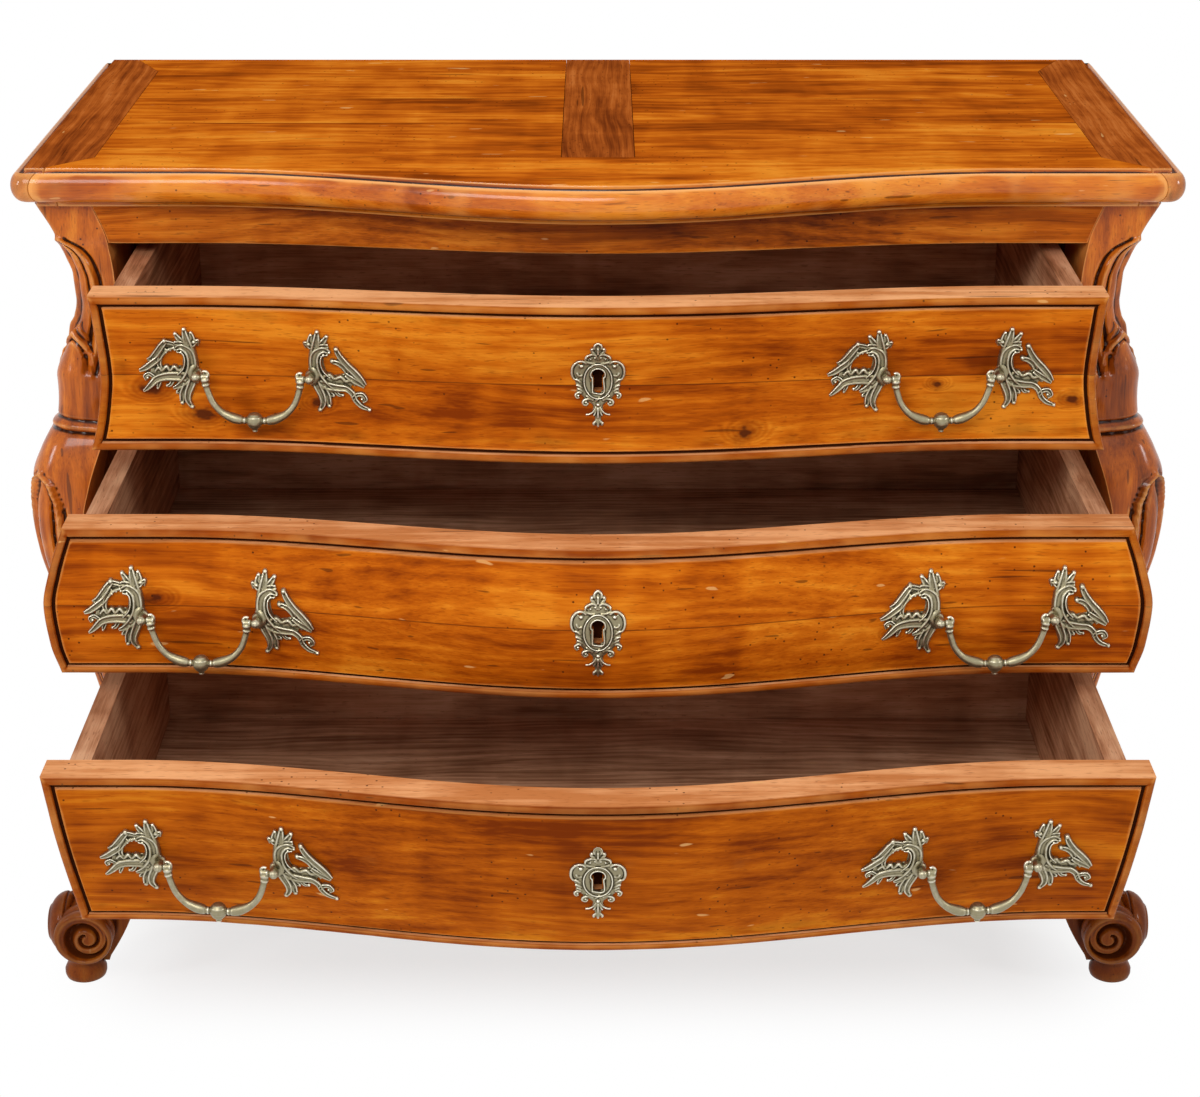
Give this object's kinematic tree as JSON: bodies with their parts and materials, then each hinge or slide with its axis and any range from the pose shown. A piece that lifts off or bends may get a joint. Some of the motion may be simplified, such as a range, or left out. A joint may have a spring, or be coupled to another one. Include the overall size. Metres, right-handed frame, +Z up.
{
  "type": "bombe chest",
  "caption": "Bombe chest with a serpentine front, sliding beaded drawers, carved corner posts, scrolled feet and drop bail handles.",
  "frame": {"origin": "on the floor, under the middle of the bounding box with the drawers part open as in the picture", "axes": "+X to the right as seen from the front, +Y to the back, +Z up; the drawers slide out towards -Y"},
  "size_m": [1.272, 0.9842, 0.968],
  "materials": {
    "honey_wood": "honey-coloured hardwood, waxed, with knots and rubbed edges",
    "band_wood": "darker cross banding of the top, waxed",
    "box_wood": "plain unpolished boards of the drawer boxes and the inside",
    "antique_brass": "aged brass, greyish, bright on the raised edges"
  },
  "bodies": {
    "case": {"top_front_rail": "honey_wood", "top_back_rail": "honey_wood", "top_centre_band": "band_wood", "top_end_band_left": "band_wood", "top_field_left": "honey_wood", "top_end_band_right": "band_wood", "top_field_right": "honey_wood", "front_leg_right": "honey_wood", "front_leg_left": "honey_wood", "rear_leg_right": "honey_wood", "rear_leg_left": "honey_wood", "side_panel_right": "honey_wood", "side_panel_left": "honey_wood", "back_panel": "box_wood", "frieze_rail": "honey_wood", "upper_drawer_rail": "honey_wood", "lower_drawer_rail": "honey_wood", "apron": "honey_wood", "upper_runner_right": "box_wood", "upper_runner_left": "box_wood", "middle_runner_right": "box_wood", "middle_runner_left": "box_wood", "lower_runner_right": "box_wood", "lower_runner_left": "box_wood"},
    "upper_drawer": {"upper_drawer_front": "honey_wood", "upper_drawer_side_right": "box_wood", "upper_drawer_side_left": "box_wood", "upper_drawer_bottom": "box_wood", "upper_drawer_back": "box_wood", "upper_escutcheon": "antique_brass", "upper_left_handle_plate_left": "antique_brass", "upper_left_handle_plate_right": "antique_brass", "upper_right_handle_plate_left": "antique_brass", "upper_right_handle_plate_right": "antique_brass"},
    "middle_drawer": {"middle_drawer_front": "honey_wood", "middle_drawer_side_right": "box_wood", "middle_drawer_side_left": "box_wood", "middle_drawer_bottom": "box_wood", "middle_drawer_back": "box_wood", "middle_escutcheon": "antique_brass", "middle_left_handle_plate_left": "antique_brass", "middle_left_handle_plate_right": "antique_brass", "middle_right_handle_plate_left": "antique_brass", "middle_right_handle_plate_right": "antique_brass"},
    "lower_drawer": {"lower_drawer_front": "honey_wood", "lower_drawer_side_right": "box_wood", "lower_drawer_side_left": "box_wood", "lower_drawer_bottom": "box_wood", "lower_drawer_back": "box_wood", "lower_escutcheon": "antique_brass", "lower_left_handle_plate_left": "antique_brass", "lower_left_handle_plate_right": "antique_brass", "lower_right_handle_plate_left": "antique_brass", "lower_right_handle_plate_right": "antique_brass"},
    "upper_left_bail": {"upper_left_handle_bail": "antique_brass"},
    "upper_right_bail": {"upper_right_handle_bail": "antique_brass"},
    "middle_left_bail": {"middle_left_handle_bail": "antique_brass"},
    "middle_right_bail": {"middle_right_handle_bail": "antique_brass"},
    "lower_left_bail": {"lower_left_handle_bail": "antique_brass"},
    "lower_right_bail": {"lower_right_handle_bail": "antique_brass"}
  },
  "joints": [
    {"name": "upper_drawer_slide", "type": "slide", "parent": "case", "child": "upper_drawer", "axis": [0, -1, 0], "range_m": [-0.145, 0.265]},
    {"name": "middle_drawer_slide", "type": "slide", "parent": "case", "child": "middle_drawer", "axis": [0, -1, 0], "range_m": [-0.2317, 0.1783]},
    {"name": "lower_drawer_slide", "type": "slide", "parent": "case", "child": "lower_drawer", "axis": [0, -1, 0], "range_m": [-0.3951, 0.0149]},
    {"name": "upper_left_bail_pivot", "type": "hinge", "parent": "upper_drawer", "child": "upper_left_bail", "pos_m": [-0.344, -0.17837, 0.788], "axis": [-0.9977, 0.0671, 0], "range_deg": [0, 90]},
    {"name": "upper_right_bail_pivot", "type": "hinge", "parent": "upper_drawer", "child": "upper_right_bail", "pos_m": [0.344, -0.17837, 0.788], "axis": [-0.9977, -0.0671, 0], "range_deg": [0, 90]},
    {"name": "middle_left_bail_pivot", "type": "hinge", "parent": "middle_drawer", "child": "middle_left_bail", "pos_m": [-0.393, -0.29861, 0.576], "axis": [-0.9978, 0.0664, 0], "range_deg": [0, 90]},
    {"name": "middle_right_bail_pivot", "type": "hinge", "parent": "middle_drawer", "child": "middle_right_bail", "pos_m": [0.393, -0.29861, 0.576], "axis": [-0.9978, -0.0664, 0], "range_deg": [0, 90]},
    {"name": "lower_left_bail_pivot", "type": "hinge", "parent": "lower_drawer", "child": "lower_left_bail", "pos_m": [-0.369, -0.43236, 0.373], "axis": [-0.9931, 0.1169, 0], "range_deg": [0, 90]},
    {"name": "lower_right_bail_pivot", "type": "hinge", "parent": "lower_drawer", "child": "lower_right_bail", "pos_m": [0.369, -0.43236, 0.373], "axis": [-0.9931, -0.1169, 0], "range_deg": [0, 90]}
  ]
}
